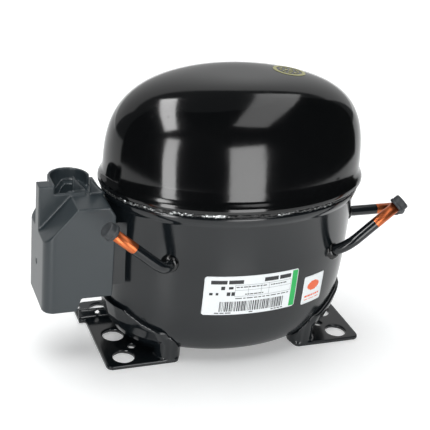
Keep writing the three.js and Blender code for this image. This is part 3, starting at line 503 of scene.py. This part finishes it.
def film(name, x0, x1, z0, z1, lift, corner=0.0, cells=(24, 12)):
    """A patch of film on the bowl's front, in mm across and up."""
    bpy.ops.object.select_all(action="DESELECT")
    columns, rows = cells
    bpy.ops.mesh.primitive_grid_add(x_subdivisions=columns, y_subdivisions=rows, size=2, location=(0, 0, 0))
    patch = bpy.context.object
    patch.name = name
    for vertex in patch.data.vertices:
        across, up = vertex.co.x, vertex.co.y
        z = (z0 + z1) / 2 + up * (z1 - z0) / 2
        edge = max(0, corner - (z1 - z0) / 2 * (1 - abs(up)))
        x = (x0 + x1) / 2 + across * ((x1 - x0) / 2 - corner + math.sqrt(max(0, corner ** 2 - edge ** 2)))
        vertex.co = (x * MM, on_bowl(x, z, lift) * MM, z * MM)
    return patch


def joined(pieces, name):
    bpy.ops.object.select_all(action="DESELECT")
    for piece in pieces:
        piece.select_set(True)
    bpy.context.view_layer.objects.active = pieces[0]
    bpy.ops.object.join()
    pieces[0].name = name
    return pieces[0]


label_paper, tree, shader, place = material("coated white label film", "#e4e8ea", 0.35, IOR=1.5)
fibre = add(tree, "ShaderNodeTexNoise", {"Scale": 900.0, "Detail": 2.0}, {"Vector": place})
tone = add(tree, "ShaderNodeMix", {"data_type": "RGBA", 6: linear("#dfe4e6"), 7: linear("#eceff0")},
           {0: fibre.outputs["Fac"]})
tree.links.new(tone.outputs[2], shader.inputs["Base Color"])

printing = {}
for name, dark, light in (
    ("black thermal print", "#16181a", "#2a2d30"),
    ("green screen print", "#12a04a", "#1cb35a"),
    ("orange screen print", "#e0592b", "#ea6d3d"),
    ("grey rule print", "#70777b", "#868c90"),
):
    ink, tree, shader, place = material(name, dark, 0.4)
    speckle = add(tree, "ShaderNodeTexNoise", {"Scale": 2500.0, "Detail": 1.0}, {"Vector": place})
    tone = add(tree, "ShaderNodeMix", {"data_type": "RGBA", 6: linear(dark), 7: linear(light)},
               {0: speckle.outputs["Fac"]})
    tree.links.new(tone.outputs[2], shader.inputs["Base Color"])
    printing[name] = ink

draw = random.Random(7)


def words(x0, x1, z, height, longest=4.0):
    """One line of word-long dashes."""
    dashes = []
    x = x0
    while x < x1 - 0.6:
        end = min(x1, x + draw.uniform(0.35, 1) * longest)
        dashes.append((x, end, z, z + height))
        x = end + 0.35 * longest * 0.5
    return dashes


def print_on(label, patches, ink_name, lift=0.40):
    pieces = [
        film("ink", x0, x1, z0, z1, lift, cells=(max(2, int((x1 - x0) / 1.2)), max(2, int((z1 - z0) / 1.2))))
        for x0, x1, z0, z1 in patches
    ]
    ink = joined(pieces, f"{label}_{ink_name.split()[0]}_print")
    ink.data.materials.append(printing[ink_name])
    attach(ink, "shell")


rating = film("rating_label_film", -38, 34, 46, 78, 0.30, corner=1.6, cells=(60, 32))
applied(rating, "SOLIDIFY", thickness=0.15 * MM, offset=-1)
bpy.ops.object.shade_smooth()
rating.data.materials.append(label_paper)
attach(rating, "shell")
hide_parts("rating_label")

black_print = [
    (-33.5, -22, 71.8, 74.8), (-20.8, -10, 71.8, 74.8), (6, 17, 72.2, 75.4), (18.2, 27.5, 72.2, 75.4),
]
black_print += words(-15, 9, 68.6, 0.8) + words(11.5, 25, 68.4, 0.8, 3)
black_print += words(-8, 6, 62.6, 0.8, 3) + words(-15, 27, 59.4, 0.7, 5)
black_print += [
    (-26, -23.2, 67.2, 70), (-20.5, -17.2, 67.6, 69.6), (-34, -31.6, 62.8, 64.8),
    (-29.4, -27.6, 62.8, 64.8), (-21.6, -19, 62.2, 65.2), (-18.2, -15.8, 62.2, 65.2),
]
x = -26.0
while x < 23:
    width = draw.choice((0.35, 0.35, 0.6, 0.9))
    black_print.append((x, x + width, 48.9, 57.3))
    x += width + draw.choice((0.35, 0.5, 0.8))
black_print += words(-29, -17, 47.2, 0.8, 5) + words(-3.4, 0.4, 47.2, 0.8, 3) + words(14, 25, 47.2, 0.8, 4)
print_on("rating_label", black_print, "black thermal print")
rules = [(-15.8, 28, z, z + 0.22) for z in (70.6, 66.4, 61.4)]
rules += [(x, x + 0.22, 61.4, 70.6) for x in (-15.8, -6, 4, 10, 28)]
print_on("rating_label", rules, "grey rule print")
print_on("rating_label", [(28.9, 33.4, 46.9, 77.1)], "green screen print", lift=0.37)

service = film("service_label_film", 41, 60, 44, 68, 0.30, corner=0.6, cells=(30, 24))
applied(service, "SOLIDIFY", thickness=0.15 * MM, offset=-1)
bpy.ops.object.shade_smooth()
service.data.materials.append(label_paper)
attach(service, "shell")
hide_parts("service_label")
disc_halves = (2.6, 4.2, 5.2, 5.6, 5.6, 5.2, 4.2, 2.6)
orange_print = [(50.5 - half, 50.5 + half, 55.0 + i, 56.0 + i) for i, half in enumerate(disc_halves)]
orange_print += words(43.5, 57.5, 49.6, 1.6, 3.4) + words(43.5, 57.5, 47.2, 0.6, 5)
print_on("service_label", orange_print, "orange screen print")


# ---- Crown sticker: a thin ring of khaki film near the top of the dome, with a faint
# inner circle of dashes.

def on_dome(x, y, lift):
    low, high = 0.0, 1.0
    for _ in range(40):
        rise = (low + high) / 2
        half_length, half_width = dome_half(rise)
        within = half_length > 0 and (x / half_length) ** 2 + (y / half_width) ** 2 < 1
        low, high = (rise, high) if within else (low, rise)
    return DOME_BASE + DOME_RISE * low + lift


def disc(name, inner, outer, lift, steps=72, start=0.0, sweep=1.0):
    """Part of a flat ring of film laid on the dome at the sticker's place."""
    bpy.ops.object.select_all(action="DESELECT")
    bpy.ops.mesh.primitive_grid_add(x_subdivisions=steps, y_subdivisions=3, size=1, location=(0, 0, 0))
    patch = bpy.context.object
    patch.name = name
    for vertex in patch.data.vertices:
        turn = 2 * math.pi * (start + sweep * (vertex.co.x + 0.5))
        radius = inner + (outer - inner) * (vertex.co.y + 0.5)
        x, y = 38 + radius * math.cos(turn), 5 + radius * math.sin(turn)
        vertex.co = (x * MM, y * MM, on_dome(x, y, lift) * MM)
    bpy.ops.object.mode_set(mode="EDIT")
    bpy.ops.mesh.select_all(action="SELECT")
    bpy.ops.mesh.remove_doubles(threshold=0.00001)
    bpy.ops.mesh.flip_normals()
    bpy.ops.object.mode_set(mode="OBJECT")
    return patch


rings = [disc("ring", 9.4, 12, 0.22)]
rings += [disc("dash", 5.6, 7.2, 0.22, 5, start / 9, 0.06) for start in range(9)]
rings += [disc("dash", 1.2, 3.4, 0.22, 6, start / 3, 0.2) for start in range(3)]
sticker = joined(rings, "top_sticker_film")
applied(sticker, "SOLIDIFY", thickness=0.1 * MM, offset=-1)
khaki, tree, shader, place = material("khaki printed film", "#9a9868", 0.4, IOR=1.5)
fade = add(tree, "ShaderNodeTexNoise", {"Scale": 300.0, "Detail": 2.0}, {"Vector": place})
tone = add(tree, "ShaderNodeMix", {"data_type": "RGBA", 6: linear("#8c8a5c"), 7: linear("#a9a775")},
           {0: fade.outputs["Fac"]})
tree.links.new(tone.outputs[2], shader.inputs["Base Color"])
sticker.data.materials.append(khaki)
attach(sticker, "shell")
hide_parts("top_sticker")


# ---- Everything inside the shell and the terminal cover keeps its own shape, and takes
# the finish that the real part has.

cast_iron, tree, shader, place = material("machined grey cast iron", "#55585a", 0.5, Metallic=0.8)
pores = add(tree, "ShaderNodeTexNoise", {"Scale": 900.0, "Detail": 4.0}, {"Vector": place})
tone = add(tree, "ShaderNodeMix", {"data_type": "RGBA", 6: linear("#45484a"), 7: linear("#66696b")},
           {0: pores.outputs["Fac"]})
tree.links.new(tone.outputs[2], shader.inputs["Base Color"])
sand = add(tree, "ShaderNodeBump", {"Strength": 0.3, "Distance": 0.0002}, {"Height": pores.outputs["Fac"]})
tree.links.new(sand.outputs["Normal"], shader.inputs["Normal"])

bright_steel, tree, shader, place = material("ground and zinc-plated steel", "#a8abad", 0.3, Metallic=1.0)
grind = add(tree, "ShaderNodeTexNoise", {"Scale": 600.0, "Detail": 3.0}, {"Vector": place})
rough = add(tree, "ShaderNodeMapRange", {"To Min": 0.22, "To Max": 0.42}, {"Value": grind.outputs["Fac"]})
tree.links.new(rough.outputs["Result"], shader.inputs["Roughness"])

# Sheets of 0.5 mm electrical steel, drawn 1 mm apart.
laminated, tree, shader, place = material("stacked electrical steel sheets", "#6d7072", 0.42, Metallic=0.9)
sheets = add(tree, "ShaderNodeTexWave", {"bands_direction": "Z", "Scale": 314.0, "Distortion": 0.0},
             {"Vector": place})
tone = add(tree, "ShaderNodeMix", {"data_type": "RGBA", 6: linear("#515456"), 7: linear("#7b7f81")},
           {0: sheets.outputs["Fac"]})
tree.links.new(tone.outputs[2], shader.inputs["Base Color"])
edges = add(tree, "ShaderNodeBump", {"Strength": 0.5, "Distance": 0.0002}, {"Height": sheets.outputs["Fac"]})
tree.links.new(edges.outputs["Normal"], shader.inputs["Normal"])

# Enamelled wire of about 0.6 mm, in a lacquered bundle.
winding_wire, tree, shader, place = material("enamelled copper winding", "#9c4d27", 0.3, Metallic=0.4)
strands = add(
    tree, "ShaderNodeTexWave",
    {"wave_type": "RINGS", "rings_direction": "Z", "Scale": 420.0, "Distortion": 2.0}, {"Vector": place},
)
tone = add(tree, "ShaderNodeMix", {"data_type": "RGBA", 6: linear("#7c3a1c"), 7: linear("#b7622f")},
           {0: strands.outputs["Fac"]})
tree.links.new(tone.outputs[2], shader.inputs["Base Color"])
wires = add(tree, "ShaderNodeBump", {"Strength": 0.6, "Distance": 0.0003}, {"Height": strands.outputs["Fac"]})
tree.links.new(wires.outputs["Normal"], shader.inputs["Normal"])

die_cast, tree, shader, place = material("die-cast aluminium", "#b4b8ba", 0.4, Metallic=1.0)
chill = add(tree, "ShaderNodeTexNoise", {"Scale": 250.0, "Detail": 4.0}, {"Vector": place})
tone = add(tree, "ShaderNodeMix", {"data_type": "RGBA", 6: linear("#a2a6a8"), 7: linear("#c2c6c8")},
           {0: chill.outputs["Fac"]})
tree.links.new(tone.outputs[2], shader.inputs["Base Color"])

gasket_fibre, tree, shader, place = material("compressed gasket fibre", "#5d6b60", 0.8)
felt = add(tree, "ShaderNodeTexNoise", {"Scale": 1200.0, "Detail": 3.0}, {"Vector": place})
tone = add(tree, "ShaderNodeMix", {"data_type": "RGBA", 6: linear("#505d54"), 7: linear("#6a786d")},
           {0: felt.outputs["Fac"]})
tree.links.new(tone.outputs[2], shader.inputs["Base Color"])

dark_plastic, tree, shader, place = material("moulded black phenolic", "#1b1d1f", 0.42, IOR=1.55)
filler = add(tree, "ShaderNodeTexNoise", {"Scale": 1000.0, "Detail": 2.0}, {"Vector": place})
tone = add(tree, "ShaderNodeMix", {"data_type": "RGBA", 6: linear("#17191b"), 7: linear("#242729")},
           {0: filler.outputs["Fac"]})
tree.links.new(tone.outputs[2], shader.inputs["Base Color"])

finishes = {
    cast_iron: ["crankcase", "counterweight", "piston_yoke"],
    bright_steel: [
        "common_pin", "start_pin", "run_pin", "earth_screw", "crankshaft", "thrust_washer",
        "oil_pickup", "slider_block", "suction_reed", "discharge_reed", "valve_plate",
    ],
    laminated: ["stator_core"],
    winding_wire: ["lower_winding", "upper_winding"],
    die_cast: ["rotor", "gallery_plug", "cylinder_head"],
    gasket_fibre: ["cylinder_gasket", "head_gasket"],
    dark_plastic: ["start_relay", "overload_protector", "suction_muffler"],
    bare_copper: ["discharge_loop"],
    burnt_weld: ["hermetic_terminal"],
    satin_black: ["terminal_fence"],
}
for number in range(1, 5):
    finishes[bright_steel] += [f"stator_bolt_{number}", f"head_screw_{number}", f"spring_{number}"]
for finish, names in finishes.items():
    for name in names:
        mesh = nodes[name].data
        mesh.materials.clear()
        mesh.materials.append(finish)


# ---- Last, the scene's transforms are brought up to date.

bpy.context.view_layer.update()
